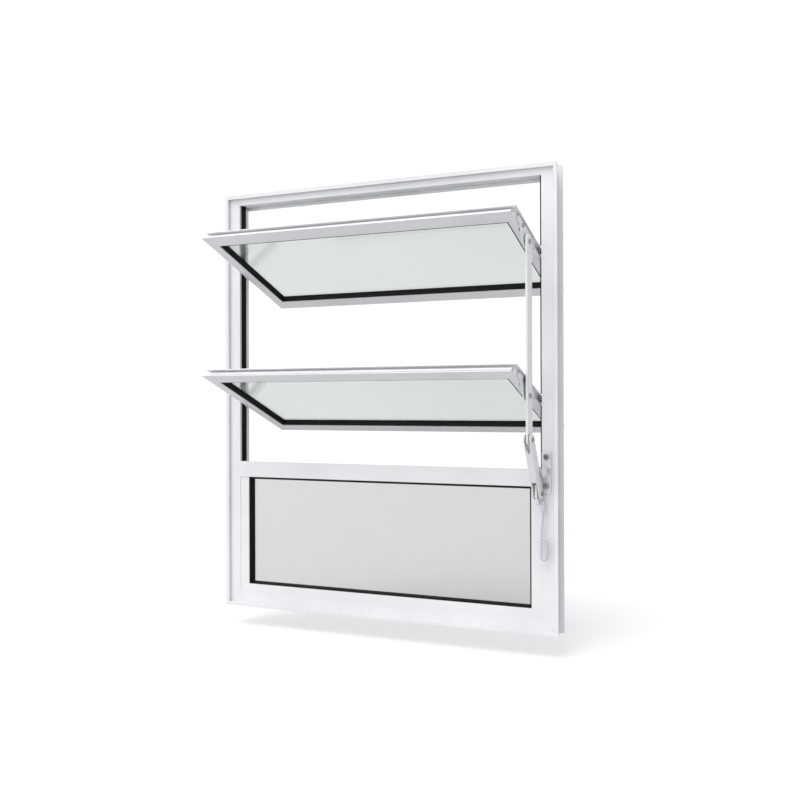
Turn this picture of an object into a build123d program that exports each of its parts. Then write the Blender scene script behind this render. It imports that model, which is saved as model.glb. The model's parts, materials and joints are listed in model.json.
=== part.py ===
from build123d import *
from math import atan2, cos, degrees, radians, sin
import os

# Pivoting bathroom window: aluminium frame, two coupled pivot sashes, a fixed lower pane and a crank.
# X runs along the width, the room is on the -Y side, Z is up. The origin is under the middle of the
# sill, on the bedding face of its channel. The sashes stand open, as the crank holds them at rest.

os.makedirs("parts", exist_ok=True)

# Outer frame
frame_width = 520.0
frame_height = 600.0
frame_depth = 23.0
wall = 1.4
lip_width = 5.4
lip_step = 4.0
web_inset = 8.0
jamb_face = 23.0
head_face = 14.5
head_stop = 4.5
sill_face = 22.0
front = -frame_depth / 2
rear = frame_depth / 2
face = front + lip_step
half_width = frame_width / 2
clear_half = half_width - jamb_face
bottom = -web_inset
top = bottom + frame_height

# Brush seals in the jambs
seal_width = 7.0
seal_base = 3.0
seal_reach = 3.4
pile_width = 5.6
seal_middle = -0.5

# Glazing
glass_thickness = 4.0
glass_bite = 4.5
bead_plate = 1.2
pocket_depth = 5.4
gasket_lip = 0.6
gasket_flat = 2.0
gasket_foot = 3.6

# Transom and fixed lower pane
transom_face = -8.0
transom_top = bottom + 211.0
transom_height = 22.5
transom_fin = 11.5
pane_front = -7.0
pane_rear = 6.8
pane_glass_front = -1.0
side_bead = 15.0
bottom_bead = 10.6

# Sashes
open_angle = 65.0
pivot_heights = {"upper": bottom + 488.5, "lower": bottom + 298.9}
sash_half_depth = 6.4
sash_wall = 1.3
opening_half_width = 218.3
opening_half_height = 74.7
sash_web = 10.5
rail_half_length = 233.0
stile_edge = 232.8
top_inner_lap = 94.9
top_outer_lap = 90.6
bottom_inner_lap = 93.2
bottom_outer_lap = 97.4
sash_glass_depth = 5.0
notch_start = 14.0
notch_edge = 228.8
notch_vee = (50.0, 57.5, 64.0)
notch_vee_edge = 225.8
port_outer = 2.4
port_bore = 1.3

# Pivots
pin_radius = 2.5
running_gap = 0.05
bush_radius = 3.2
bush_end = 233.9
bush_foot = 16.0

# Linkage, in layers across X beside the right jamb
layer_start = 233.5
layer_end = 236.5
cheek = 1.5
side_gap = 0.3
link_inner = (231.9, 238.4)
link_rear = 5.5
link_front = 8.5
link_tail = 6.5
link_nose = 8.0
web_start = 20.0
web_stop = 11.0
web_vee = 5.5
rod_width = 15.0
link_pin_height = 43.6
link_pin_reach = 14.4
link_pin_radius = 2.0
link_pin_head = 3.0
bracket_thickness = 2.0
bracket_ear = 5.5
rivet_radius = 1.6
rivet_head = 2.8
rivet_height = 0.9
rod_foot = bottom + 250.0

# Crank
crank_pivot = (-17.0, bottom + 208.0)
crank_pin = (-15.2, bottom + 180.5)
plate_sides = (-8.6, 6.2)
plate_start = 237.2
plate_end = 249.5
plate_low = bottom + 180.0
plate_high = bottom + 234.5
plate_thickness = 1.5
lug_start = 243.0
tab_window = (245.2, 249.5)
tab_window_height = 7.0
screw_x = 243.6
screw_heights = (bottom + 190.0, bottom + 227.0)
screw_shank = 2.0
wire_radius = 1.5
wire_x = 242.6
wire_low_x = 238.0
eye_width = 8.6
eye_top = bottom + 124.0
eye_bottom = bottom + 97.4
ferrule_radius = 2.5
ferrule_length = 8.0
wire_bend = 3.0


def write(part, name):
    """Label a finished piece and write it as its own STEP file."""
    part.label = name
    export_step(part, f"parts/{name}.step")


def member_plane(start, inward):
    """Section plane of a frame member: local x runs inward from the outer edge, local y along +Y."""
    inward = Vector(*inward)
    return Plane(origin=start, x_dir=inward, z_dir=inward.cross(Vector(0, 1, 0)))


def strip(start, end, near, far):
    """Rectangle of a section, from start to end inward and from near to far in depth."""
    with Locations(((start + end) / 2, (near + far) / 2)):
        Rectangle(end - start, far - near)


def slab(plane, left, right, low, high, back, front_side, mode=Mode.ADD):
    """Rectangular block on a plane, between two heights along its normal."""
    with BuildSketch(plane.offset(back)) as outline:
        with Locations(((left + right) / 2, (low + high) / 2)):
            Rectangle(right - left, high - low)
    extrude(outline.sketch, amount=front_side - back, mode=mode)


def channel_section(face_width, rear_width):
    """Proud front lip, stepped face, recessed web and rear flange of an outer frame member."""
    strip(0, lip_width, front, front + wall)
    strip(lip_width - wall, lip_width, front, face + wall)
    strip(lip_width - wall, face_width, face, face + wall)
    strip(web_inset, web_inset + wall, face, rear)
    strip(0, rear_width, rear - wall, rear)


def gasket_ring(plane, half_x, half_y, glass_level, plate_level):
    """Front gasket: a foot under the plate, a lip at its edge and a bevel down to the glass."""
    outer_x = half_x + gasket_foot
    outer_y = half_y + gasket_foot
    slab(plane, -outer_x, outer_x, -outer_y, outer_y, glass_level, plate_level)
    slab(plane, -half_x, half_x, -half_y, half_y, plate_level, plate_level + gasket_lip)
    foot_x = half_x - gasket_foot
    foot_y = half_y - gasket_foot
    with BuildSketch(plane.offset(glass_level)) as bevel_foot:
        Rectangle(2 * foot_x, 2 * foot_y)
    with BuildSketch(plane.offset(plate_level)) as bevel_edge:
        Rectangle(2 * (half_x - gasket_flat), 2 * (half_y - gasket_flat))
    loft([bevel_foot.sketch, bevel_edge.sketch], mode=Mode.SUBTRACT)
    flat_x = half_x - gasket_flat
    flat_y = half_y - gasket_flat
    slab(plane, -flat_x, flat_x, -flat_y, flat_y, plate_level, plate_level + 2 * gasket_lip, Mode.SUBTRACT)


def disc(plane, centre, radius, start, end, mode=Mode.ADD):
    """Round boss or hole on a plane, between two heights along its normal."""
    with BuildSketch(plane.offset(start)) as outline:
        with Locations(centre):
            Circle(radius)
    extrude(outline.sketch, amount=end - start, mode=mode)


# Jambs: full height, their lips cut back at both ends for the lips of the head and the sill
seal_front = seal_middle - seal_width / 2
seal_back = seal_middle + seal_width / 2
pocket_floor = jamb_face - seal_base
for side_name, side in (("left", -1), ("right", 1)):
    jamb_start = (side * half_width, 0, bottom if side < 0 else top)
    with BuildPart() as jamb:
        with BuildSketch(member_plane(jamb_start, (-side, 0, 0))):
            channel_section(jamb_face, jamb_face)
            strip(jamb_face - wall, jamb_face, face, seal_front)
            strip(jamb_face - wall, jamb_face, seal_back, rear)
            strip(pocket_floor - wall, pocket_floor, seal_front - wall, seal_back + wall)
            strip(pocket_floor - wall, jamb_face, seal_front - wall, seal_front)
            strip(pocket_floor - wall, jamb_face, seal_back, seal_back + wall)
        extrude(amount=frame_height)
        if side > 0:
            for height in screw_heights:
                with Locations(Plane(origin=(screw_x, face, height), z_dir=(0, -1, 0))):
                    Hole(radius=screw_shank, depth=wall)
        lip_centre = side * (half_width - web_inset / 2)
        for end in (bottom, top):
            with Locations((lip_centre, 0, end)):
                Box(web_inset, frame_depth, 2 * lip_width, mode=Mode.SUBTRACT)
        body_centre = side * (half_width - web_inset - (jamb_face - web_inset) / 2)
        for end in (bottom, top):
            with Locations((body_centre, 0, end)):
                Box(jamb_face - web_inset, frame_depth, 2 * web_inset, mode=Mode.SUBTRACT)
    write(jamb.part, f"{side_name}_jamb")

# Head and sill: their lips run the full width, their bodies stand between the jambs
with BuildPart() as head:
    with BuildSketch(member_plane((-half_width, 0, top), (0, 0, -1))):
        channel_section(head_face, head_face + head_stop)
        strip(head_face - wall, head_face, face, rear)
    extrude(amount=frame_width)
    for side in (-1, 1):
        with Locations((side * (half_width - jamb_face / 2), 0, top - web_inset - head_face / 2)):
            Box(jamb_face, frame_depth, head_face, mode=Mode.SUBTRACT)
        with Locations((side * (half_width - web_inset / 2), 0, top - lip_width - head_face / 2)):
            Box(web_inset, frame_depth, head_face, mode=Mode.SUBTRACT)
write(head.part, "head_rail")

with BuildPart() as sill:
    with BuildSketch(member_plane((half_width, 0, bottom), (0, 0, 1))):
        channel_section(sill_face, sill_face)
        strip(sill_face - wall, sill_face, face, rear)
    extrude(amount=frame_width)
    for side in (-1, 1):
        with Locations((side * (half_width - jamb_face / 2), 0, bottom + web_inset + sill_face / 2)):
            Box(jamb_face, frame_depth, sill_face, mode=Mode.SUBTRACT)
        with Locations((side * (half_width - web_inset / 2), 0, bottom + lip_width + sill_face / 2)):
            Box(web_inset, frame_depth, sill_face, mode=Mode.SUBTRACT)
write(sill.part, "sill_rail")

# Transom: a hollow bar with a fin up in front of the lower sash and a glazing pocket below
with BuildPart() as transom:
    with BuildSketch(member_plane((-clear_half, 0, transom_top), (0, 0, -1))):
        strip(0, transom_height, transom_face, transom_face + bead_plate)
        strip(transom_fin, transom_height, pane_rear - bead_plate, pane_rear)
        strip(transom_fin, transom_fin + bead_plate, transom_face, pane_rear)
        pocket_roof = transom_height - pocket_depth
        strip(pocket_roof - bead_plate, pocket_roof, transom_face, pane_rear)
    extrude(amount=2 * clear_half)
write(transom.part, "transom")

# Fixed lower pane: bottom rail between the jambs, side beads standing on it
pane_low = bottom + sill_face + bottom_bead
pane_high = transom_top - transom_height
pane_half = clear_half - side_bead


def bead_section(width):
    """Hollow glazing bead: two plates, an outer wall and the floor of the glass pocket."""
    strip(0, width, pane_front, pane_front + bead_plate)
    strip(0, width, pane_rear - bead_plate, pane_rear)
    strip(0, bead_plate, pane_front, pane_rear)
    strip(width - pocket_depth - bead_plate, width - pocket_depth, pane_front, pane_rear)


with BuildPart() as bottom_rail:
    with BuildSketch(member_plane((clear_half, 0, bottom + sill_face), (0, 0, 1))):
        bead_section(bottom_bead)
    extrude(amount=2 * clear_half)
write(bottom_rail.part, "pane_bottom_rail")

for side_name, side in (("left", -1), ("right", 1)):
    bead_start = (side * clear_half, 0, pane_low if side < 0 else pane_high)
    with BuildPart() as side_rail:
        with BuildSketch(member_plane(bead_start, (-side, 0, 0))):
            bead_section(side_bead)
        extrude(amount=pane_high - pane_low)
    write(side_rail.part, f"pane_{side_name}_bead")

pane_middle = (pane_low + pane_high) / 2
pane_half_height = (pane_high - pane_low) / 2
pane_plane = Plane(origin=(0, 0, pane_middle), x_dir=(1, 0, 0), z_dir=(0, -1, 0))
pane_glass_back = pane_glass_front + glass_thickness
with BuildPart() as pane_glass:
    glass_x = pane_half + glass_bite
    glass_y = pane_half_height + glass_bite
    slab(pane_plane, -glass_x, glass_x, -glass_y, glass_y, -pane_glass_back, -pane_glass_front)
write(pane_glass.part, "pane_glass")

with BuildPart() as pane_gasket:
    gasket_ring(pane_plane, pane_half, pane_half_height, -pane_glass_front, -pane_front - bead_plate)
write(pane_gasket.part, "pane_front_gasket")

with BuildPart() as pane_back_gasket:
    plate_back = -(pane_rear - bead_plate)
    outer_x = pane_half + gasket_foot
    outer_y = pane_half_height + gasket_foot
    inner_x = pane_half - gasket_flat
    inner_y = pane_half_height - gasket_flat
    slab(pane_plane, -outer_x, outer_x, -outer_y, outer_y, plate_back, -pane_glass_back)
    slab(pane_plane, -inner_x, inner_x, -inner_y, inner_y, plate_back, -pane_glass_back, Mode.SUBTRACT)
write(pane_back_gasket.part, "pane_rear_gasket")

# Brush seals in the jamb pockets, in three lengths that stop at the pivot bushes
seal_stops = [
    transom_top - transom_height,
    pivot_heights["lower"],
    pivot_heights["upper"],
    top - head_face,
]
for side_name, side in (("left", -1), ("right", 1)):
    for index, length_name in enumerate(("lower", "middle", "upper")):
        low = seal_stops[index] + (bush_foot / 2 if index > 0 else transom_height)
        high = seal_stops[index + 1] - (bush_foot / 2 if index < 2 else 0)
        seal_plane = member_plane((side * clear_half, 0, low if side < 0 else high), (-side, 0, 0))
        with BuildPart() as seal:
            with BuildSketch(seal_plane):
                strip(-seal_base, 0, seal_front, seal_back)
                strip(0, seal_reach, seal_middle - pile_width / 2, seal_middle + pile_width / 2)
            extrude(amount=high - low)
        write(seal.part, f"{side_name}_{length_name}_brush_seal")

# Sash pieces, built on the tilted plane of each sash
tilt = radians(open_angle)
pocket_wall_start = pocket_depth
web_x = opening_half_width + sash_web
web_y = opening_half_height + sash_web
plate_level = sash_half_depth - sash_wall
glass_level = sash_half_depth - sash_glass_depth


def sash_corner_cut(reach_x, reach_y, sign):
    """Outline of a rail between its 45 degree corner cuts, with square ends past the stiles."""
    inner_x = opening_half_width
    inner_y = opening_half_height
    end_y = inner_y + reach_x - inner_x
    half = [(inner_x, inner_y), (reach_x, end_y), (reach_x, reach_y)]
    mirrored = [(-x, y) for x, y in reversed(half)]
    return [(x, sign * y) for x, y in half + mirrored]


def sash_rail(plane, sign, inner_lap, outer_lap):
    """Rail with an inner and an outer flange, a web between them and a glass pocket wall."""
    reach = rail_half_length
    base = sorted((sign * opening_half_height, sign * inner_lap))
    slab(plane, -reach, reach, *base, plate_level, sash_half_depth)
    base = sorted((sign * opening_half_height, sign * outer_lap))
    slab(plane, -reach, reach, *base, -sash_half_depth, -plate_level)
    for start in (sash_web - sash_wall, pocket_wall_start):
        near = opening_half_height + start
        span = sorted((sign * near, sign * (near + sash_wall)))
        slab(plane, -web_x, web_x, *span, -plate_level, plate_level)
    with BuildSketch(plane.offset(-sash_half_depth)) as outline:
        with BuildLine():
            Polyline(*sash_corner_cut(reach, max(inner_lap, outer_lap), sign), close=True)
        make_face()
    extrude(outline.sketch, amount=2 * sash_half_depth, mode=Mode.INTERSECT)


def sash_stile(plane, side):
    """Stile with both flanges the same, cut at 45 degrees into the rails."""
    reach_y = opening_half_height + stile_edge - opening_half_width
    edge = sorted((side * opening_half_width, side * stile_edge))
    for level in (plate_level, -sash_half_depth):
        slab(plane, *edge, -reach_y, reach_y, level, level + sash_wall)
    for start in (sash_web - sash_wall, pocket_wall_start):
        near = opening_half_width + start
        span = sorted((side * near, side * (near + sash_wall)))
        slab(plane, *span, -reach_y, reach_y, -plate_level, plate_level)
    outline = [(opening_half_width, opening_half_height), (stile_edge, reach_y)]
    lower = [(x, -y) for x, y in reversed(outline)]
    with BuildSketch(plane.offset(-sash_half_depth)) as mitred:
        with BuildLine():
            Polyline(*[(side * x, y) for x, y in outline + lower], close=True)
        make_face()
    extrude(mitred.sketch, amount=2 * sash_half_depth, mode=Mode.INTERSECT)


for sash_name, pivot_z in pivot_heights.items():
    sash_plane = Plane(origin=(0, 0, pivot_z), x_dir=(1, 0, 0), z_dir=(0, -cos(tilt), -sin(tilt)))
    side_plane = Plane(origin=(0, 0, pivot_z), x_dir=sash_plane.y_dir, z_dir=(1, 0, 0))
    # on side_plane local x runs up the sash and local y points out of the room face
    room_sign = 1 if side_plane.y_dir.dot(sash_plane.z_dir) > 0 else -1
    link_pin_centre = (link_pin_height, room_sign * link_pin_reach)

    with BuildPart() as top_rail:
        sash_rail(sash_plane, 1, top_inner_lap, top_outer_lap)
        slab(sash_plane, notch_edge, rail_half_length + 1, web_y, top_inner_lap + 1,
             plate_level, sash_half_depth, Mode.SUBTRACT)
        port_centre = (web_y + port_outer - sash_wall / 2, 0)
        port_end = web_x - sash_wall - 0.5
        disc(side_plane, port_centre, port_outer, -port_end, port_end)
        disc(side_plane, port_centre, port_bore, -web_x, web_x, Mode.SUBTRACT)
    write(top_rail.part, f"{sash_name}_sash_top_rail")

    with BuildPart() as low_rail:
        sash_rail(sash_plane, -1, bottom_inner_lap, bottom_outer_lap)
    write(low_rail.part, f"{sash_name}_sash_bottom_rail")

    with BuildPart() as left_stile:
        sash_stile(sash_plane, -1)
        disc(side_plane, (0, 0), pin_radius, -web_x - 1, -web_x + sash_wall + 1, Mode.SUBTRACT)
    write(left_stile.part, f"{sash_name}_sash_left_stile")

    with BuildPart() as right_stile:
        sash_stile(sash_plane, 1)
        low_shoulder, vee_tip, high_shoulder = notch_vee
        notch = [(notch_edge, notch_start), (notch_edge, low_shoulder), (notch_vee_edge, vee_tip)]
        notch += [(notch_edge, high_shoulder), (notch_edge, web_y + sash_web)]
        notch += [(stile_edge + 1, web_y + sash_web), (stile_edge + 1, notch_start)]
        with BuildSketch(sash_plane.offset(plate_level)) as notch_outline:
            with BuildLine():
                Polyline(*notch, close=True)
            make_face()
        extrude(notch_outline.sketch, amount=sash_wall, mode=Mode.SUBTRACT)
        disc(side_plane, (0, 0), pin_radius, web_x - sash_wall - 1, web_x + 1, Mode.SUBTRACT)
    write(right_stile.part, f"{sash_name}_sash_right_stile")

    with BuildPart() as sash_glass:
        glass_x = opening_half_width + glass_bite
        glass_y = opening_half_height + glass_bite
        slab(sash_plane, -glass_x, glass_x, -glass_y, glass_y, glass_level - glass_thickness, glass_level)
    write(sash_glass.part, f"{sash_name}_sash_glass")

    with BuildPart() as front_gasket:
        gasket_ring(sash_plane, opening_half_width, opening_half_height, glass_level, plate_level)
    write(front_gasket.part, f"{sash_name}_sash_front_gasket")

    with BuildPart() as rear_gasket:
        glass_back = glass_level - glass_thickness
        outer_x = opening_half_width + gasket_foot
        outer_y = opening_half_height + gasket_foot
        inner_x = opening_half_width - gasket_flat
        inner_y = opening_half_height - gasket_flat
        slab(sash_plane, -outer_x, outer_x, -outer_y, outer_y, -plate_level, glass_back)
        slab(sash_plane, -inner_x, inner_x, -inner_y, inner_y, -plate_level, glass_back, Mode.SUBTRACT)
    write(rear_gasket.part, f"{sash_name}_sash_rear_gasket")

    for side_name, side in (("left", -1), ("right", 1)):
        with BuildPart() as pivot_pin:
            inner_end = web_x - sash_wall
            disc(side_plane, (0, 0), pin_radius, side * inner_end, side * (clear_half + seal_base - 0.5))
            disc(side_plane, (0, 0), pin_radius + 1.5, side * (inner_end - 1.2), side * inner_end)
        write(pivot_pin.part, f"{sash_name}_{side_name}_pivot_pin")

        with BuildPart() as bush:
            foot_x = side * (clear_half + seal_base / 2)
            with Locations((foot_x, seal_middle, pivot_z)):
                Box(seal_base, seal_width, bush_foot)
            disc(side_plane, (0, 0), bush_radius, side * bush_end, side * clear_half)
            disc(side_plane, (0, 0), pin_radius + running_gap, side * (bush_end - 1),
                 side * (clear_half + seal_base + 1), Mode.SUBTRACT)
        write(bush.part, f"{sash_name}_{side_name}_pivot_bush")

    # Link bracket: a hooked plate in the groove of the right stile, its ear out in front of the sash
    bracket_low = 24.0
    bracket_high = 76.0
    rivet_places = (30.5, 58.0)
    with BuildPart() as link_bracket:
        with BuildSketch(side_plane.offset(web_x)):
            with Locations(((bracket_low + bracket_high) / 2, 0)):
                SlotOverall(bracket_high - bracket_low, 8.0)
            with BuildSketch(mode=Mode.PRIVATE) as ear:
                with Locations(link_pin_centre):
                    Circle(bracket_ear)
                with Locations((36.0, 0), (66.0, 0)):
                    Circle(3.5)
                make_hull()
            add(ear.sketch)
        extrude(amount=bracket_thickness)
        disc(side_plane, link_pin_centre, link_pin_radius, web_x - 1, web_x + 4, Mode.SUBTRACT)
        for place in rivet_places:
            disc(side_plane, (place, 0), rivet_radius, web_x - 1, web_x + 4, Mode.SUBTRACT)
    write(link_bracket.part, f"{sash_name}_link_bracket")

    with BuildPart() as bracket_rivets:
        for place in rivet_places:
            rivet_base = web_x + bracket_thickness
            disc(side_plane, (place, 0), rivet_radius, web_x, rivet_base)
            disc(side_plane, (place, 0), rivet_head, rivet_base, rivet_base + rivet_height)
    write(bracket_rivets.part, f"{sash_name}_bracket_rivets")

    with BuildPart() as link_pin:
        disc(side_plane, link_pin_centre, link_pin_radius, web_x, layer_end + side_gap)
        disc(side_plane, link_pin_centre, link_pin_head, web_x + bracket_thickness, layer_start - side_gap)
        disc(side_plane, link_pin_centre, link_pin_head, layer_end + side_gap, layer_end + 1.3)
    write(link_pin.part, f"{sash_name}_link_pin")

# Connecting rod: a flat bar hung on both link pins, with the crank link at its foot
pin_offset_y = -sin(tilt) * link_pin_height - cos(tilt) * link_pin_reach
pin_offset_z = cos(tilt) * link_pin_height - sin(tilt) * link_pin_reach
rod_y = pin_offset_y
rod_pins = [height + pin_offset_z for height in pivot_heights.values()]
layer_plane = Plane(origin=(0, 0, 0), x_dir=(0, 1, 0), z_dir=(1, 0, 0))
rod_top = rod_pins[0] + 9.7
rod_bottom = rod_foot - rod_width / 2
with BuildPart() as rod:
    with BuildSketch(layer_plane.offset(layer_start)):
        with Locations((rod_y, (rod_top + rod_bottom) / 2)):
            SlotOverall(rod_top - rod_bottom, rod_width, rotation=90)
    extrude(amount=layer_end - layer_start)
    for height in rod_pins + [rod_foot]:
        disc(layer_plane, (rod_y, height), link_pin_radius + running_gap, layer_start - 1, layer_end + 1,
             Mode.SUBTRACT)
write(rod.part, "connecting_rod")

# Drive link: a folded channel from the foot of the rod to the pin of the crank
link_foot = Vector(0, *crank_pin)
link_head = Vector(0, rod_y, rod_foot)
link_direction = (link_head - link_foot).normalized()
link_length = (link_head - link_foot).length
link_plane = Plane(origin=link_foot, x_dir=link_direction, z_dir=(1, 0, 0))
# local y of link_plane points to the wall when its Y part is positive
wall_sign = 1 if link_plane.y_dir.Y > 0 else -1
link_span = (-link_tail, link_length + link_nose)
link_side = wall_sign * (link_rear - link_front) / 2
web_span = (web_start, link_length - web_stop)
left_cheek = (link_inner[0] - cheek, link_inner[0])
right_cheek = (link_inner[1], link_inner[1] + cheek)
link_middle = (left_cheek[0] + right_cheek[1]) / 2
with BuildPart() as drive_link:
    for low, high in (left_cheek, right_cheek):
        with BuildSketch(link_plane.offset(low)):
            with Locations((sum(link_span) / 2, link_side)):
                SlotOverall(link_span[1] - link_span[0], link_rear + link_front)
        extrude(amount=high - low)
    web_edges = sorted((-wall_sign * link_front, -wall_sign * (link_front - cheek)))
    slab(link_plane, *web_span, *web_edges, left_cheek[0], right_cheek[1])
    # the web is notched to a vee between the two ears of the fork
    web_top = link_plane.from_local_coords((web_span[1], 0, 0))
    vee_plane = Plane(origin=web_top, x_dir=(1, 0, 0), z_dir=link_plane.y_dir)
    vee_down = -1 if vee_plane.y_dir.dot(link_direction) > 0 else 1
    ear_room = (right_cheek[0] - left_cheek[1]) / 2
    with BuildSketch(vee_plane.offset(-link_front - link_rear)) as vee:
        with BuildLine():
            Polyline((link_middle - ear_room, -vee_down), (link_middle, vee_down * web_vee),
                     (link_middle + ear_room, -vee_down), close=True)
        make_face()
    extrude(vee.sketch, amount=2 * (link_front + link_rear), mode=Mode.SUBTRACT)
    for place in ((0, 0), (link_length, 0)):
        disc(link_plane, place, link_pin_radius, left_cheek[0] - 1, right_cheek[1] + 1, Mode.SUBTRACT)
write(drive_link.part, "drive_link")

# Rivets of the drive link, each with two washers that keep the inner layer in the middle
with BuildPart() as link_rivets:
    for place in ((0, 0), (link_length, 0)):
        disc(link_plane, place, link_pin_radius, left_cheek[0], right_cheek[1])
        disc(link_plane, place, link_pin_head, left_cheek[0] - 0.9, left_cheek[0])
        disc(link_plane, place, link_pin_head, right_cheek[1], right_cheek[1] + 1.1)
        disc(link_plane, place, link_pin_head, left_cheek[1], layer_start - side_gap)
        disc(link_plane, place, link_pin_head, layer_end + side_gap, right_cheek[0])
write(link_rivets.part, "drive_link_rivets")

# Crank plate: it swings on the bracket lug and carries the pull handle below the link
crank_arm = Vector(0, *crank_pin) - Vector(0, *crank_pivot)
crank_angle = degrees(atan2(crank_arm.Z, crank_arm.Y))
crank_radius = crank_arm.length
crank_plane = Plane(origin=(0, *crank_pivot), x_dir=crank_arm.normalized(), z_dir=(1, 0, 0))
wire_hole = crank_radius + 10.5
slot_in = 7.8
slot_sides = (-3.1, 0.5)
slot_room = link_pin_radius + 0.4
with BuildPart() as crank:
    with BuildSketch(crank_plane.offset(layer_start)):
        Circle(7.5)
        with Locations((crank_radius - slot_in / 2, sum(plate_sides) / 2)):
            RectangleRounded(slot_in + 13.0, plate_sides[1] - plate_sides[0], 4.0)
        with Locations((crank_radius / 2, 0)):
            Rectangle(crank_radius, 12.0)
        with Locations((wire_hole, 0)):
            Circle(4.0)
        with Locations((wire_hole - 4.0, 0)):
            Rectangle(8.0, 8.0)
    extrude(amount=layer_end - layer_start)
    with BuildSketch(crank_plane.offset(layer_start)):
        with Locations((crank_radius - slot_in / 2, sum(slot_sides) / 2)):
            slot_width = slot_sides[1] - slot_sides[0] + 2 * slot_room
            RectangleRounded(slot_in + 2 * slot_room, slot_width, link_pin_radius)
    extrude(amount=layer_end - layer_start, mode=Mode.SUBTRACT)
    disc(crank_plane, (0, 0), pin_radius + running_gap, layer_start - 1, layer_end + 1, Mode.SUBTRACT)
    disc(crank_plane, (wire_hole, 0), wire_radius, layer_start - 1, layer_end + 1, Mode.SUBTRACT)
write(crank.part, "crank_plate")

# Bracket on the face of the right jamb, its lug carrying the crank
plate_front = face - plate_thickness
with BuildPart() as bracket:
    with BuildSketch(Plane(origin=(0, face, 0), x_dir=(1, 0, 0), z_dir=(0, -1, 0))):
        with Locations(((plate_start + plate_end) / 2, (plate_low + plate_high) / 2)):
            RectangleRounded(plate_end - plate_start, plate_high - plate_low, 2.5)
        with Locations((sum(tab_window) / 2, crank_pivot[1])):
            Rectangle(tab_window[1] - tab_window[0] - 1.0, tab_window_height, mode=Mode.SUBTRACT)
    extrude(amount=plate_thickness)
    with BuildSketch(layer_plane.offset(lug_start)):
        with Locations(crank_pivot):
            Circle(7.0)
        lug_reach = plate_front - crank_pivot[0]
        with Locations((crank_pivot[0] + lug_reach / 2, crank_pivot[1])):
            Rectangle(lug_reach, 14.0)
    extrude(amount=plate_thickness)
    disc(layer_plane, crank_pivot, pin_radius, lug_start - 1, lug_start + 3, Mode.SUBTRACT)
    for height in screw_heights:
        with Locations(Plane(origin=(screw_x, plate_front, height), z_dir=(0, -1, 0))):
            Hole(radius=2.1, depth=plate_thickness)
write(bracket.part, "crank_bracket")

with BuildPart() as crank_pin_piece:
    disc(layer_plane, crank_pivot, pin_radius, layer_start - side_gap, lug_start + plate_thickness)
    disc(layer_plane, crank_pivot, 3.3, layer_start - side_gap - 1.2, layer_start - side_gap)
    disc(layer_plane, crank_pivot, 3.5, layer_end + side_gap, lug_start)
    disc(layer_plane, crank_pivot, 4.2, lug_start + plate_thickness, lug_start + plate_thickness + 1.4)
write(crank_pin_piece.part, "crank_pivot_pin")

# Screws: pan heads with a cross recess, their shanks through the jamb face
with BuildPart() as screws:
    for height in screw_heights:
        screw_plane = Plane(origin=(screw_x, plate_front, height), x_dir=(1, 0, 0), z_dir=(0, -1, 0))
        disc(screw_plane, (0, 0), 3.9, 0, 2.4)
        for angle in (0, 90):
            with BuildSketch(screw_plane.offset(1.2)):
                Rectangle(4.4, 1.0, rotation=angle + 20)
            extrude(amount=1.2, mode=Mode.SUBTRACT)
        disc(screw_plane, (0, 0), screw_shank, -plate_thickness - wall, 0)
    head_rims = screws.edges().filter_by(GeomType.CIRCLE).filter_by(lambda edge: edge.radius > 3.5)
    outer_rims = head_rims.group_by(Axis.Y)[0]
    fillet(outer_rims, radius=1.1)
write(screws.part, "bracket_screws")

# Pull handle: a coated wire hooked through the crank plate, ending in a closed eye
hook_y = crank_plane.from_local_coords((wire_hole, 0, 0)).Y
hook_z = crank_plane.from_local_coords((wire_hole, 0, 0)).Z
eye_half = eye_width / 2
eye_middle_x = wire_low_x + eye_half
eye_high_z = eye_top - 1.6 * eye_half
eye_low_z = eye_bottom + eye_half
with BuildPart() as handle:
    with BuildLine() as shank_line:
        FilletPolyline((layer_start, hook_y, hook_z), (wire_x, hook_y, hook_z),
                       (wire_low_x, hook_y, eye_high_z), radius=wire_bend)
    with BuildSketch(Plane(origin=(layer_start, hook_y, hook_z), z_dir=(1, 0, 0))):
        Circle(wire_radius)
    sweep(path=shank_line.line)
    with BuildLine() as eye_line:
        Line((wire_low_x, hook_y, eye_high_z), (wire_low_x, hook_y, eye_low_z))
        ThreePointArc((wire_low_x, hook_y, eye_low_z), (eye_middle_x, hook_y, eye_bottom),
                      (wire_low_x + eye_width, hook_y, eye_low_z))
        Line((wire_low_x + eye_width, hook_y, eye_low_z), (wire_low_x + eye_width, hook_y, eye_high_z))
        Spline((wire_low_x + eye_width, hook_y, eye_high_z), (eye_middle_x + 0.6, hook_y, eye_top - 0.8),
               (wire_low_x + 0.6, hook_y, eye_top), tangents=((0, 0, 1), (-1, 0, 0.25)))
    with BuildSketch(Plane(origin=(wire_low_x, hook_y, eye_high_z), z_dir=(0, 0, -1))):
        Circle(wire_radius)
    sweep(path=eye_line.line)
    lean = Vector(wire_low_x - wire_x, 0, eye_high_z - hook_z).normalized()
    ferrule_start = Vector(wire_x, hook_y, hook_z) + lean * (wire_bend + 0.5)
    disc(Plane(origin=ferrule_start, z_dir=lean), (0, 0), ferrule_radius, 0, ferrule_length)
write(handle.part, "pull_handle")

print("crank radius", round(crank_radius, 2), "angle", round(crank_angle, 2))
print("link length", round(link_length, 2), "rod y", round(rod_y, 3), "rod pins", rod_pins)
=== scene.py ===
import json
from math import cos, radians, sin

import bpy
import numpy as np
from mathutils import Matrix, Vector


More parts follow.
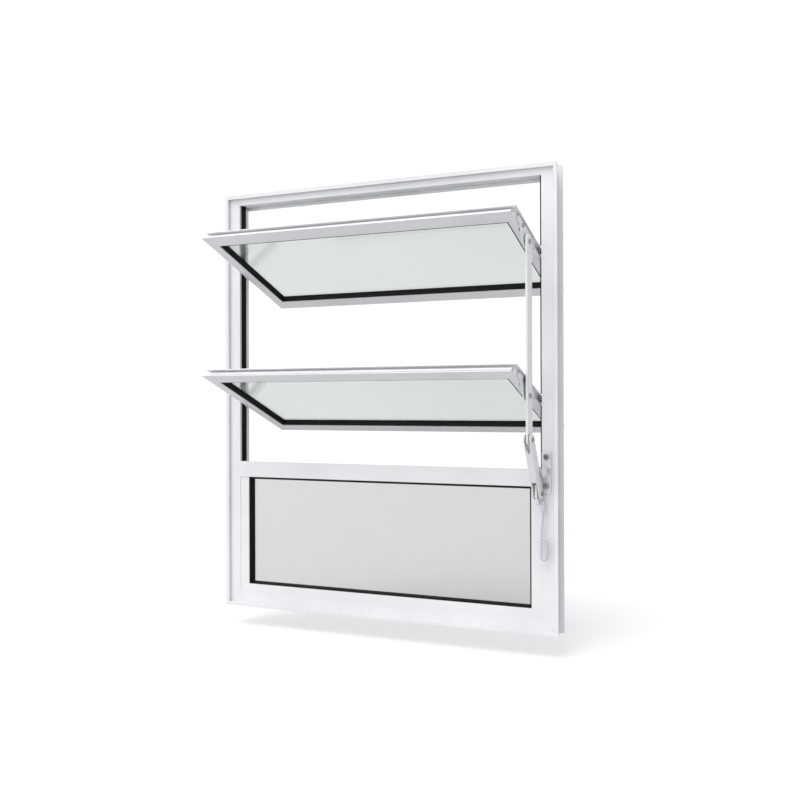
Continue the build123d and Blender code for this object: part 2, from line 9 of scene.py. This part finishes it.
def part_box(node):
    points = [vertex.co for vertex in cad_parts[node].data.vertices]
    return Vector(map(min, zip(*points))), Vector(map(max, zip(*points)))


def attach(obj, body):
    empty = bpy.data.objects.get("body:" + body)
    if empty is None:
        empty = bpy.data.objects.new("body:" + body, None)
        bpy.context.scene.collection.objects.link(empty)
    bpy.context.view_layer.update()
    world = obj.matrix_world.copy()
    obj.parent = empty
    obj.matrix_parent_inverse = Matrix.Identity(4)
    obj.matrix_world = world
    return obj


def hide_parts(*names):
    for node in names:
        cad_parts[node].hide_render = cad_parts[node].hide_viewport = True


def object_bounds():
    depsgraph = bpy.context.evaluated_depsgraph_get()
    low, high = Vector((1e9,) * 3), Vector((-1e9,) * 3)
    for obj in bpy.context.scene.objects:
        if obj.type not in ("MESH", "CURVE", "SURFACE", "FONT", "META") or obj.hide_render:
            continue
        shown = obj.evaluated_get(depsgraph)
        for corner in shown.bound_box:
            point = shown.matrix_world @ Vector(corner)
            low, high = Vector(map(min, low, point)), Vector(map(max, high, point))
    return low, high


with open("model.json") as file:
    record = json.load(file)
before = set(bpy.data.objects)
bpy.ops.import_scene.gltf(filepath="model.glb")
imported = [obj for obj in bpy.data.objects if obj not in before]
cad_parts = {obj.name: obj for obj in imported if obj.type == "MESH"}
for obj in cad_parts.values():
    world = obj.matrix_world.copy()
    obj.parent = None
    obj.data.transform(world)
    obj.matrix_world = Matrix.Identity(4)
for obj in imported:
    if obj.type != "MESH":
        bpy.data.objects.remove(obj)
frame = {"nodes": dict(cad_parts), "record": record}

mm = 0.001
nodes = frame["nodes"]
cadBox = [list(corner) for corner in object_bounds()]
print("frame loaded:", len(nodes), "nodes")


# Materials

def linear(hexColour):
    # sRGB hex to the linear values that the shader wants
    parts = [int(hexColour[i:i + 2], 16) / 255 for i in (1, 3, 5)]
    light = (v / 12.92 if v <= 0.04045 else ((v + 0.055) / 1.055) ** 2.4 for v in parts)
    return (*light, 1.0)


def startMaterial(name):
    material = bpy.data.materials.new(name)
    material.use_nodes = True
    tree = material.node_tree
    return material, tree, tree.nodes["Principled BSDF"]


def addNode(tree, kind, settings=None, links=None):
    # settings go to the node's own properties or, by name or number, to its sockets
    node = tree.nodes.new(kind)
    for key, value in (settings or {}).items():
        if isinstance(key, str) and hasattr(node, key):
            setattr(node, key, value)
        else:
            node.inputs[key].default_value = value
    for key, source in (links or {}).items():
        tree.links.new(source, node.inputs[key])
    return node


def rampStops(node, stops):
    # a new ramp has two elements, and both stops are set
    for element, (place, colour) in zip(node.color_ramp.elements, stops):
        element.position = place
        element.color = linear(colour)


powderCoat = {
    "white": "#F2F2F3",
    "shade": "#EAEAEC",
    "toneStops": (0.3, 0.62),
    # painted shade: this grey darkens the coat where ambient occlusion finds a corner
    "cornerShade": "#C9CACC",
    "cornerShadeMost": 0.7,
    "cornerShadeFade": (0.2, 0.8),
    "patchSize": 90 * mm,
    "peelSize": 1.6 * mm,     # real orange peel is about 0.6 mm, drawn coarser so that it shows
    "peelHeight": 0.03 * mm,
    "peelStrength": 0.35,
    "glossSpread": (-0.05, 0.07),
    "edgeRadius": 0.45 * mm,
    "edgeSamples": 4,
    "cornerReach": 7 * mm,
    "cornerSamples": 6,
    # painted shadow: this dark grey draws the shade that falls in narrow gaps between parts
    "seamShade": "#3E3F41",
    "seamShadeMost": 0.6,
    "seamShadeFade": (0.1, 0.5),
    "seamReach": 1.8 * mm,
    "seedSlant": 0.7,         # a seed moves the pattern this share as far in Y as in X
}


def powderCoatMaterial(name, white, roughness, seed):
    # Polyester powder sprayed on and baked over the metal: an even white skin with a faint
    # orange peel and soft highlights, with painted shade darkening its corners and painted
    # shadow lines in its narrow gaps
    material, tree, shader = startMaterial(name)
    place = addNode(tree, "ShaderNodeTexCoord")
    shifted = addNode(tree, "ShaderNodeMapping",
                      {"Location": (seed, seed * powderCoat["seedSlant"], 0)},
                      {"Vector": place.outputs["Object"]})
    patches = addNode(tree, "ShaderNodeTexNoise",
                      {"Scale": 1 / powderCoat["patchSize"], "Detail": 4.0},
                      {"Vector": shifted.outputs[0]})
    tone = addNode(tree, "ShaderNodeValToRGB", links={"Fac": patches.outputs["Fac"]})
    shadeStop, whiteStop = powderCoat["toneStops"]
    rampStops(tone, [(shadeStop, powderCoat["shade"]), (whiteStop, white)])
    # painted shade: the coat is mixed towards a grey in corners, where shade falls
    corner = addNode(tree, "ShaderNodeAmbientOcclusion",
                     {"samples": powderCoat["cornerSamples"],
                      "Distance": powderCoat["cornerReach"]})
    cornerShadeFrom, cornerShadeTo = powderCoat["cornerShadeFade"]
    cornerShadeMask = addNode(tree, "ShaderNodeMapRange",
                         {"From Min": cornerShadeFrom, "From Max": cornerShadeTo,
                          "To Min": powderCoat["cornerShadeMost"], "To Max": 0.0},
                         {"Value": corner.outputs["AO"]})
    cornerShaded = addNode(tree, "ShaderNodeMix", {"data_type": "RGBA", 7: linear(powderCoat["cornerShade"])},
                    {0: cornerShadeMask.outputs[0], 6: tone.outputs["Color"]})
    # painted shadow: a short ambient occlusion darkens narrow gaps into dark lines
    seamShade = addNode(tree, "ShaderNodeAmbientOcclusion",
                   {"samples": powderCoat["cornerSamples"], "Distance": powderCoat["seamReach"]})
    seamFrom, seamTo = powderCoat["seamShadeFade"]
    seamShadeMask = addNode(tree, "ShaderNodeMapRange",
                       {"From Min": seamFrom, "From Max": seamTo,
                        "To Min": powderCoat["seamShadeMost"], "To Max": 0.0},
                       {"Value": seamShade.outputs["AO"]})
    paintedShadeColour = addNode(tree, "ShaderNodeMix", {"data_type": "RGBA", 7: linear(powderCoat["seamShade"])},
                    {0: seamShadeMask.outputs[0], 6: cornerShaded.outputs[2]})
    tree.links.new(paintedShadeColour.outputs[2], shader.inputs["Base Color"])
    smoother, rougher = powderCoat["glossSpread"]
    gloss = addNode(tree, "ShaderNodeMapRange",
                    {"To Min": roughness + smoother, "To Max": roughness + rougher},
                    {"Value": patches.outputs["Fac"]})
    tree.links.new(gloss.outputs[0], shader.inputs["Roughness"])
    peel = addNode(tree, "ShaderNodeTexNoise",
                   {"Scale": 1 / powderCoat["peelSize"], "Detail": 2.0},
                   {"Vector": shifted.outputs[0]})
    rounded = addNode(tree, "ShaderNodeBevel",
                      {"samples": powderCoat["edgeSamples"], "Radius": powderCoat["edgeRadius"]})
    bump = addNode(tree, "ShaderNodeBump",
                   {"Strength": powderCoat["peelStrength"], "Distance": powderCoat["peelHeight"]},
                   {"Height": peel.outputs["Fac"], "Normal": rounded.outputs[0]})
    tree.links.new(bump.outputs[0], shader.inputs["Normal"])
    return material


glass = {
    "ior": 1.5,
    # painted shade: the glass goes from its tint to a darker tint towards the lower right
    "shadeSpan": (-0.45, 0.3),         # X less Z in metres, from the first tint to the second
    "filmSize": 1000 / 14 * mm,       # about 71 mm
    "filmDistortion": 0.6,
    "filmFade": (0.35, 0.7),
    "filmRoughness": 0.05,
    "waveHeight": 0.05 * mm,
    "waveStrength": 0.12,
}


def glassMaterial(name, tint, shadedTint, roughness, wave):
    # Float glass: drawn flat on molten tin, so it is clear with a slight green cast and faint
    # waves; the satin sheet is etched on one side and veils what lies behind it
    material, tree, shader = startMaterial(name)
    shader.inputs["Transmission Weight"].default_value = 1.0
    shader.inputs["IOR"].default_value = glass["ior"]
    place = addNode(tree, "ShaderNodeTexCoord")
    # painted shade: X less Z darkens the glass from tint to shadedTint towards the lower right
    axes = addNode(tree, "ShaderNodeSeparateXYZ", links={"Vector": place.outputs["Object"]})
    slope = addNode(tree, "ShaderNodeMath", {"operation": "SUBTRACT"},
                    {0: axes.outputs["X"], 1: axes.outputs["Z"]})
    spanFrom, spanTo = glass["shadeSpan"]
    span = addNode(tree, "ShaderNodeMapRange", {"From Min": spanFrom, "From Max": spanTo},
                   {"Value": slope.outputs[0]})
    tone = addNode(tree, "ShaderNodeValToRGB", links={"Fac": span.outputs[0]})
    rampStops(tone, [(0.0, tint), (1.0, shadedTint)])
    tree.links.new(tone.outputs["Color"], shader.inputs["Base Color"])
    film = addNode(tree, "ShaderNodeTexNoise",
                   {"Scale": 1 / glass["filmSize"], "Detail": 5.0,
                    "Distortion": glass["filmDistortion"]},
                   {"Vector": place.outputs["Object"]})
    filmFrom, filmTo = glass["filmFade"]
    spread = addNode(tree, "ShaderNodeMapRange",
                     {"From Min": filmFrom, "From Max": filmTo,
                      "To Min": roughness, "To Max": roughness + glass["filmRoughness"]},
                     {"Value": film.outputs["Fac"]})
    tree.links.new(spread.outputs[0], shader.inputs["Roughness"])
    ripple = addNode(tree, "ShaderNodeTexNoise", {"Scale": 1 / wave, "Detail": 1.0},
                     {"Vector": place.outputs["Object"]})
    bump = addNode(tree, "ShaderNodeBump",
                   {"Strength": glass["waveStrength"], "Distance": glass["waveHeight"]},
                   {"Height": ripple.outputs["Fac"]})
    tree.links.new(bump.outputs[0], shader.inputs["Normal"])
    return material


rubber = {
    "bloomSize": 1000 / 60 * mm,      # about 17 mm
    "bloomStops": (0.38, 0.75),
    "bloomRoughness": 0.2,
    "specular": 0.25,
    "skinSize": 0.9 * mm,
    "skinHeight": 0.05 * mm,
    "skinStrength": 0.4,
}


def rubberMaterial(name, dark, worn, roughness):
    # Extruded EPDM rubber, moulded nylon or cut polypropylene pile: matt black with a fine skin
    # and a little grey bloom
    material, tree, shader = startMaterial(name)
    place = addNode(tree, "ShaderNodeTexCoord")
    bloom = addNode(tree, "ShaderNodeTexNoise", {"Scale": 1 / rubber["bloomSize"], "Detail": 6.0},
                    {"Vector": place.outputs["Object"]})
    tone = addNode(tree, "ShaderNodeValToRGB", links={"Fac": bloom.outputs["Fac"]})
    darkStop, wornStop = rubber["bloomStops"]
    rampStops(tone, [(darkStop, dark), (wornStop, worn)])
    tree.links.new(tone.outputs["Color"], shader.inputs["Base Color"])
    shader.inputs["Specular IOR Level"].default_value = rubber["specular"]
    gloss = addNode(tree, "ShaderNodeMapRange",
                    {"To Min": roughness, "To Max": roughness + rubber["bloomRoughness"]},
                    {"Value": bloom.outputs["Fac"]})
    tree.links.new(gloss.outputs[0], shader.inputs["Roughness"])
    skin = addNode(tree, "ShaderNodeTexNoise", {"Scale": 1 / rubber["skinSize"], "Detail": 3.0},
                   {"Vector": place.outputs["Object"]})
    bump = addNode(tree, "ShaderNodeBump",
                   {"Strength": rubber["skinStrength"], "Distance": rubber["skinHeight"]},
                   {"Height": skin.outputs["Fac"]})
    tree.links.new(bump.outputs[0], shader.inputs["Normal"])
    return material


zinc = {
    "markSize": 2 * mm,
    "markStops": (0.3, 0.7),
    "markHeight": 0.03 * mm,
    "markStrength": 0.3,
    "gloss": (0.24, 0.42),
    # painted shade: this dark grey darkens the zinc in its recesses
    "recess": "#3A3A38",
    "recessMost": 0.9,
    "recessFade": (0.3, 0.9),
    "recessReach": 1.6 * mm,
    "recessSamples": 6,
}


def zincMaterial(name, dark, bright):
    # Zinc plated steel: slightly blue grey metal with soft barrel-tumbled marks, with painted
    # shade darkening its recesses
    material, tree, shader = startMaterial(name)
    shader.inputs["Metallic"].default_value = 1.0
    place = addNode(tree, "ShaderNodeTexCoord")
    marks = addNode(tree, "ShaderNodeTexNoise", {"Scale": 1 / zinc["markSize"], "Detail": 4.0},
                    {"Vector": place.outputs["Object"]})
    tone = addNode(tree, "ShaderNodeValToRGB", links={"Fac": marks.outputs["Fac"]})
    darkStop, brightStop = zinc["markStops"]
    rampStops(tone, [(darkStop, dark), (brightStop, bright)])
    # painted shade: ambient occlusion mixes the zinc towards a dark grey in recesses
    corner = addNode(tree, "ShaderNodeAmbientOcclusion",
                     {"samples": zinc["recessSamples"], "Distance": zinc["recessReach"]})
    recessFrom, recessTo = zinc["recessFade"]
    recessShadeMask = addNode(tree, "ShaderNodeMapRange",
                    {"From Min": recessFrom, "From Max": recessTo,
                     "To Min": zinc["recessMost"], "To Max": 0.0},
                    {"Value": corner.outputs["AO"]})
    paintedShadeColour = addNode(tree, "ShaderNodeMix", {"data_type": "RGBA", 7: linear(zinc["recess"])},
                    {0: recessShadeMask.outputs[0], 6: tone.outputs["Color"]})
    tree.links.new(paintedShadeColour.outputs[2], shader.inputs["Base Color"])
    smoother, rougher = zinc["gloss"]
    gloss = addNode(tree, "ShaderNodeMapRange", {"To Min": smoother, "To Max": rougher},
                    {"Value": marks.outputs["Fac"]})
    tree.links.new(gloss.outputs[0], shader.inputs["Roughness"])
    bump = addNode(tree, "ShaderNodeBump",
                   {"Strength": zinc["markStrength"], "Distance": zinc["markHeight"]},
                   {"Height": marks.outputs["Fac"]})
    tree.links.new(bump.outputs[0], shader.inputs["Normal"])
    return material


profileWhite = powderCoatMaterial("powderCoatedAluminium", powderCoat["white"],
                                  roughness=0.42, seed=0.0)
linkWhite = powderCoatMaterial("powderCoatedSteel", "#EEEEEF", roughness=0.36, seed=0.31)
# painted shade: the pull handle's white coat is drawn as a darker, bluer copy
shadedWireCoat = powderCoatMaterial("shadedWhiteWire", "#C4C7D0", roughness=0.4, seed=0.57)
sashGlass = glassMaterial("floatGlass", "#D8DDD9", "#D6DBD8", roughness=0.02, wave=60 * mm)
paneGlass = glassMaterial("satinFloatGlass", "#D3D6D3", "#CCCDC8", roughness=0.16, wave=40 * mm)
gasketRubber = rubberMaterial("epdmRubber", "#08090A", "#141415", roughness=0.5)
pileBlack = rubberMaterial("polypropylenePile", "#08080A", "#161618", roughness=0.6)
nylonBlack = rubberMaterial("mouldedNylon", "#08080A", "#121214", roughness=0.42)
zincSteel = zincMaterial("zincPlatedSteel", "#9C9D9A", "#BCBDBA")

finishOf = {
    "white_coated_aluminium": profileWhite,
    "white_coated_steel": linkWhite,
    "black_gasket_rubber": gasketRubber,
    "black_pile": pileBlack,
    "black_nylon": nylonBlack,
    "zinc_steel": zincSteel,
}
ownFinish = {
    "crank_pivot_pin": linkWhite,     # its head is painted with the bracket
    "pull_handle": shadedWireCoat,
}
slotOf = {entry["node"]: entry["material_slot"] for entry in frame["record"]["subparts"]}
for name, node in nodes.items():
    if name in ownFinish:
        material = ownFinish[name]
    elif slotOf[name] == "clear_glass":
        material = paneGlass if name.startswith("pane") else sashGlass
    else:
        material = finishOf[slotOf[name]]
    for slot in node.material_slots:
        slot.material = material
print("materials given to", len(nodes), "nodes")


# New surfaces, in numpy

def addMesh(name, points, faces, material, body):
    # points is an n by 3 array and faces an m by k array of indices; the piece rides on a CAD body
    mesh = bpy.data.meshes.new(name)
    mesh.vertices.add(len(points))
    mesh.vertices.foreach_set("co", points.astype(np.float32).ravel())
    sides = faces.shape[1]
    mesh.loops.add(faces.size)
    mesh.loops.foreach_set("vertex_index", faces.astype(np.int32).ravel())
    mesh.polygons.add(len(faces))
    mesh.polygons.foreach_set("loop_start", np.arange(0, faces.size, sides, dtype=np.int32))
    mesh.update(calc_edges=True)
    mesh.validate()
    mesh.materials.append(material)
    piece = bpy.data.objects.new(name, mesh)
    bpy.context.scene.collection.objects.link(piece)
    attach(piece, body)
    return piece


# Brush seals: a woven backing with rows of cut pile, in place of the plain blocks of the CAD
brush = {
    "rows": 7,
    "pitch": 0.55 * mm,
    "pitchJitter": 0.4,       # share of the pitch
    "footWidth": 0.5 * mm,
    "footSpread": 0.9,        # share of the pile's half width that the rows stand on
    "splay": 0.5 * mm,
    "swayAcross": 0.12 * mm,
    "swayAlong": 0.25 * mm,
    "uneven": 0.35 * mm,
    "shortEdge": 0.1 * mm,    # the outer rows are cut this much shorter
    "edgeMargin": 0.7 * mm,
    "backing": 3.0 * mm,
    "core": 0.93,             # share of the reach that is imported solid
}


def blockFaces(offset):
    # six outward faces of a box whose corners are numbered x first, then y, then z
    return offset + np.array([[0, 2, 3, 1], [4, 5, 7, 6], [0, 1, 5, 4],
                              [2, 6, 7, 3], [0, 4, 6, 2], [1, 3, 7, 5]])


def blockCorners(low, high):
    # corner i takes the high X, Y or Z where bit 0, 1 or 2 of i is set
    pick = np.array([[i & 1, i >> 1 & 1, i >> 2 & 1] for i in range(8)])
    return np.where(pick, np.array(high), np.array(low))


def brushSeal(node, seed):
    # Row r runs from -1 to 1 across the pile. Bristle k of it stands at z = lowest + pitch *
    # (1 + k + jitter) and y = middle + half width * spread * r. Its foot is a small triangle on the
    # backing. Its tip is at the reach less a random amount, and splay * r further out in y.
    low, high = (np.array(corner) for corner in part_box(node))
    inward = -1 if low[0] > 0 else 1
    wallX, tipX = (high[0], low[0]) if inward < 0 else (low[0], high[0])
    rootX = wallX + inward * brush["backing"]
    middleY = (low[1] + high[1]) / 2
    halfY = (high[1] - low[1]) / 2 - brush["edgeMargin"]
    random = np.random.default_rng(seed)
    count = int((high[2] - low[2]) / brush["pitch"]) - 1
    row, step = np.meshgrid(np.linspace(-1, 1, brush["rows"]), np.arange(count), indexing="ij")
    row, step = row.ravel(), step.ravel()
    size = row.size
    footY = middleY + halfY * row * brush["footSpread"]
    jitter = random.uniform(-brush["pitchJitter"], brush["pitchJitter"], size)
    footZ = low[2] + brush["pitch"] * (1 + step + jitter)
    cutShort = random.uniform(0, brush["uneven"], size) + abs(row) * brush["shortEdge"]
    tip = np.stack([tipX - inward * cutShort,
                    footY + brush["splay"] * row + random.normal(0, brush["swayAcross"], size),
                    footZ + random.normal(0, brush["swayAlong"], size)], axis=1)
    corners = []
    for turn in np.arange(3) * 2 * np.pi / 3:
        corners.append(np.stack([np.full(size, rootX),
                                 footY + brush["footWidth"] / 2 * np.cos(turn),
                                 footZ + brush["footWidth"] / 2 * np.sin(turn)], axis=1))
    bristles = np.stack(corners + [tip], axis=1).reshape(-1, 3)
    # each bristle's foot is followed by its tip, and three sides join them
    start = len(corners + [tip]) * np.arange(size)[:, None]
    order = np.array([[0, 1, 3], [1, 2, 3], [2, 0, 3]])
    if inward < 0:
        order = order[:, ::-1]
    bristleFaces = (start[:, None] + order[None]).reshape(-1, 3)
    backing = blockCorners([min(rootX, wallX), low[1], low[2]],
                           [max(rootX, wallX), high[1], high[2]])
    coreTip = rootX + (tipX - rootX) * brush["core"]
    core = blockCorners([min(rootX, coreTip), middleY - halfY, low[2]],
                        [max(rootX, coreTip), middleY + halfY, high[2]])
    points = np.concatenate([bristles, backing, core])
    quads = np.concatenate([blockFaces(len(bristles)), blockFaces(len(bristles) + len(backing))])
    blocks = np.concatenate([quads[:, [0, 1, 2]], quads[:, [0, 2, 3]]])
    return points, np.concatenate([bristleFaces, blocks])


for index, name in enumerate(sorted(n for n in nodes if n.endswith("brush_seal"))):
    points, faces = brushSeal(name, index)
    seal = addMesh(name + "Pile", points, faces, pileBlack, "frame")
    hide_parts(name)
print("brush seals with pile")


# Stage: a white paper floor and a white room, both brighter to the camera than in their bounce

stage = {
    "floorDrop": 30 * mm,
    "floorSize": 9.0,
    "paper": "#CDCDCD",
    "paperBounce": "#CDCECF",
    "paperGlow": 0.42,
    "paperRoughness": 0.95,
    "paperSpecular": 0.1,
    "world": "#FBFCFE",
    "worldSeen": 1.1,
    "worldBounce": 0.7,
}
lamps = {
    "overheadSoftbox": {"strength": 1.45, "angle": 36, "turn": -14, "tilt": 63},
    "frontSoftbox": {"strength": 0.62, "angle": 70, "turn": -38, "tilt": 16},
}


def seenDirectly(tree):
    # one for rays from the eye and for rays that came through glass
    path = addNode(tree, "ShaderNodeLightPath")
    either = addNode(tree, "ShaderNodeMath", {"operation": "MAXIMUM"},
                     {0: path.outputs["Is Camera Ray"], 1: path.outputs["Is Transmission Ray"]})
    return either.outputs[0]


lowest = cadBox[0][2]
bpy.ops.mesh.primitive_plane_add(size=stage["floorSize"],
                                 location=(0, 0, lowest - stage["floorDrop"]))
floor = bpy.context.object
floor.name = "floor"
# Plain studio paper: flat white, no shine
floorMaterial, floorTree, floorShader = startMaterial("palePaper")
paperTone = addNode(floorTree, "ShaderNodeMix",
                    {"data_type": "RGBA", 6: linear(stage["paperBounce"]),
                     7: linear(stage["paper"])},
                    {0: seenDirectly(floorTree)})
floorTree.links.new(paperTone.outputs[2], floorShader.inputs["Base Color"])
paperGlow = addNode(floorTree, "ShaderNodeMath",
                    {"operation": "MULTIPLY", 1: stage["paperGlow"]},
                    {0: seenDirectly(floorTree)})
floorShader.inputs["Emission Color"].default_value = linear(stage["world"])
floorTree.links.new(paperGlow.outputs[0], floorShader.inputs["Emission Strength"])
floorShader.inputs["Roughness"].default_value = stage["paperRoughness"]
floorShader.inputs["Specular IOR Level"].default_value = stage["paperSpecular"]
floor.data.materials.append(floorMaterial)

world = bpy.data.worlds.new("studio")
bpy.context.scene.world = world
world.use_nodes = True
sky = world.node_tree.nodes["Background"]
sky.inputs["Color"].default_value = linear(stage["world"])
skyStrength = addNode(world.node_tree, "ShaderNodeMapRange",
                      {"To Min": stage["worldBounce"], "To Max": stage["worldSeen"]},
                      {"Value": seenDirectly(world.node_tree)})
world.node_tree.links.new(skyStrength.outputs[0], sky.inputs["Strength"])

for name, lamp in lamps.items():
    # turn is counted in degrees round from straight ahead, tilt in degrees above the horizon
    light = bpy.data.lights.new(name, "SUN")
    light.energy = lamp["strength"]
    light.angle = radians(lamp["angle"])
    holder = bpy.data.objects.new(name, light)
    bpy.context.scene.collection.objects.link(holder)
    turn, tilt = radians(lamp["turn"]), radians(lamp["tilt"])
    source = Vector((sin(turn) * cos(tilt), -cos(turn) * cos(tilt), sin(tilt)))
    holder.rotation_euler = (-source).to_track_quat("-Z", "Y").to_euler()

view = {
    "place": (0.62699, -1.01815, 0.29),
    "turn": 20.545,       # degrees left of straight ahead
    "tilt": 0.048,
    "roll": -0.187,
    "lens": 38.33,
    "sensor": 36.0,
    "nearest": 0.01,
    "shift": -0.1875,     # the window stands left of the lens axis
}
camera = bpy.data.cameras.new("camera")
camera.lens = view["lens"]
camera.sensor_width = view["sensor"]
camera.shift_x = view["shift"]
camera.clip_start = view["nearest"]
cameraObject = bpy.data.objects.new("camera", camera)
bpy.context.scene.collection.objects.link(cameraObject)
turn, tilt, roll = (radians(view[key]) for key in ("turn", "tilt", "roll"))
ahead = Vector((-sin(turn) * cos(tilt), cos(turn) * cos(tilt), sin(tilt)))
levelRight = Vector((cos(turn), sin(turn), 0))
levelUp = levelRight.cross(ahead)
right = levelRight * cos(roll) + levelUp * sin(roll)
up = levelUp * cos(roll) - levelRight * sin(roll)
turned = Matrix((right, up, -ahead)).transposed().to_4x4()
cameraObject.matrix_world = Matrix.Translation(view["place"]) @ turned
bpy.context.scene.camera = cameraObject
bpy.context.scene.view_settings.view_transform = "Standard"
print("stage, lamp and camera ready")
